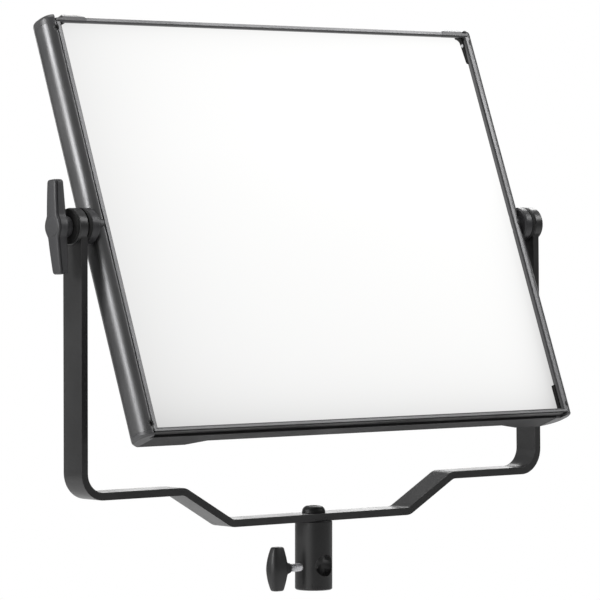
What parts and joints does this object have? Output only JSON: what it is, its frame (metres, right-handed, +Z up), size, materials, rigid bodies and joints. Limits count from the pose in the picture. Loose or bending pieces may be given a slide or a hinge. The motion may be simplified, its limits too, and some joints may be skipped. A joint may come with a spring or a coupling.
{
  "type": "led panel light",
  "caption": "Flat rectangular panel light held in a U-shaped tilt yoke with a locking T-handle, on a stand socket with a clamp screw; dimming controls at the back.",
  "frame": {"origin": "centre of the stand socket's lower mouth", "axes": "+Z up along the stand spigot, +Y towards the back of the light (it shines towards -Y), +X to the right when facing the lit side; the tilt axis is parallel to X"},
  "size_m": [0.4695, 0.1404, 0.4192],
  "materials": {
    "yoke_paint": "satin powder coat",
    "friction_rubber": "matt",
    "brass": "machined",
    "bright_steel": "zinc plated",
    "knob_plastic": "moulded satin",
    "boss_paint": "satin",
    "anodised_frame": "satin dark anodised",
    "corner_plastic": "fine texture",
    "stop_plastic": "matt",
    "opal_acrylic": "matt opal, lit from behind",
    "clear_acrylic": "polished",
    "white_film": "matt white",
    "bare_aluminium": "mill finish",
    "emitter_phosphor": "encapsulated",
    "cover_plastic": "fine moulded texture",
    "button_plastic": "satin",
    "display_lens": "polished smoked",
    "component_plastic": "moulded",
    "circuit_board": "solder mask",
    "cable_jacket": "satin",
    "black_hardware": "black oxide"
  },
  "bodies": {
    "yoke": {"yoke_bracket": "yoke_paint", "stand_receiver": "yoke_paint", "yoke_bolt": "yoke_paint", "left_friction_washer": "friction_rubber", "right_friction_washer": "friction_rubber"},
    "clamp_pad": {"clamp_tip": "brass"},
    "clamp": {"clamp_screw": "bright_steel", "clamp_knob": "knob_plastic"},
    "handle_washer": {"tilt_handle_washer": "friction_rubber"},
    "tilt_lock": {"tilt_stud": "bright_steel", "tilt_handle": "knob_plastic"},
    "brightness_control": {"brightness_knob": "knob_plastic", "brightness_shaft": "bright_steel"},
    "colour_control": {"colour_knob": "knob_plastic", "colour_shaft": "bright_steel"},
    "mode_key": {"mode_button": "button_plastic"},
    "channel_key": {"channel_button": "button_plastic"},
    "menu_key": {"menu_button": "button_plastic"},
    "power_key": {"power_rocker": "cover_plastic"},
    "head": {"right_pivot_bolt": "yoke_paint", "right_pivot_washer": "bright_steel", "pivot_boss_screws": "bright_steel", "end_cap_screws": "black_hardware", "channel_stop_screws": "bright_steel", "back_plate_screws": "bright_steel", "rear_cover_screws": "bright_steel", "control_board_screws": "bright_steel", "left_pivot_boss": "boss_paint", "right_pivot_boss": "boss_paint", "left_rail": "anodised_frame", "right_rail": "anodised_frame", "top_rail": "anodised_frame", "bottom_rail": "anodised_frame", "top_left_corner": "corner_plastic", "top_right_corner": "corner_plastic", "top_left_end_cap": "corner_plastic", "top_right_end_cap": "corner_plastic", "bottom_left_end_cap": "corner_plastic", "bottom_right_end_cap": "corner_plastic", "upper_channel_stops": "stop_plastic", "lower_channel_stops": "stop_plastic", "diffuser": "opal_acrylic", "light_guide_plate": "clear_acrylic", "reflector_sheet": "white_film", "back_plate": "bare_aluminium", "led_strips": "bare_aluminium", "led_emitters": "emitter_phosphor", "rear_cover": "cover_plastic", "power_switch_housing": "cover_plastic", "dc_inlet": "cover_plastic", "display_window": "display_lens", "display_module": "component_plastic", "encoder_bodies": "component_plastic", "button_switches": "component_plastic", "driver_components": "component_plastic", "control_board": "circuit_board", "driver_board": "circuit_board", "wiring_harness": "cable_jacket"}
  },
  "joints": [
    {"name": "head_tilt", "type": "hinge", "parent": "yoke", "child": "head", "pos_m": [0, 0, 0.2684], "axis": [1, 0, 0], "continuous": true},
    {"name": "handle_travel", "type": "slide", "parent": "head", "child": "handle_washer", "axis": [-1, 0, 0], "range_m": [0, 0.0019]},
    {"name": "handle_turn", "type": "hinge", "parent": "handle_washer", "child": "tilt_lock", "pos_m": [-0.2274, 0, 0.2684], "axis": [-1, 0, 0], "range_deg": [0, 540]},
    {"name": "clamp_travel", "type": "slide", "parent": "yoke", "child": "clamp_pad", "axis": [1, 0, 0], "range_m": [-0.0031, 0.0031]},
    {"name": "clamp_turn", "type": "hinge", "parent": "clamp_pad", "child": "clamp", "pos_m": [-0.0301, 0, 0.017], "axis": [1, 0, 0], "range_deg": [-1080, 1080]},
    {"name": "brightness_turn", "type": "hinge", "parent": "head", "child": "brightness_control", "pos_m": [-0.1745, 0.02266, 0.24996], "axis": [0, 0.9323, -0.3616], "continuous": true},
    {"name": "colour_turn", "type": "hinge", "parent": "head", "child": "colour_control", "pos_m": [-0.1745, 0.01326, 0.22572], "axis": [0, 0.9323, -0.3616], "continuous": true},
    {"name": "mode_press", "type": "slide", "parent": "head", "child": "mode_key", "axis": [0, -0.9323, 0.3616], "range_m": [0, 0.0005]},
    {"name": "channel_press", "type": "slide", "parent": "head", "child": "channel_key", "axis": [0, -0.9323, 0.3616], "range_m": [0, 0.0005]},
    {"name": "menu_press", "type": "slide", "parent": "head", "child": "menu_key", "axis": [0, -0.9323, 0.3616], "range_m": [0, 0.0005]},
    {"name": "power_rock", "type": "hinge", "parent": "head", "child": "power_key", "pos_m": [-0.1745, -0.01729, 0.17321], "axis": [1, 0, 0], "range_deg": [-16, 0]}
  ],
  "couplings": [
    {"joint": "handle_travel", "follows": "handle_turn", "m_per_rad": 0.00019894},
    {"joint": "clamp_travel", "follows": "clamp_turn", "m_per_rad": 0.00015915}
  ]
}
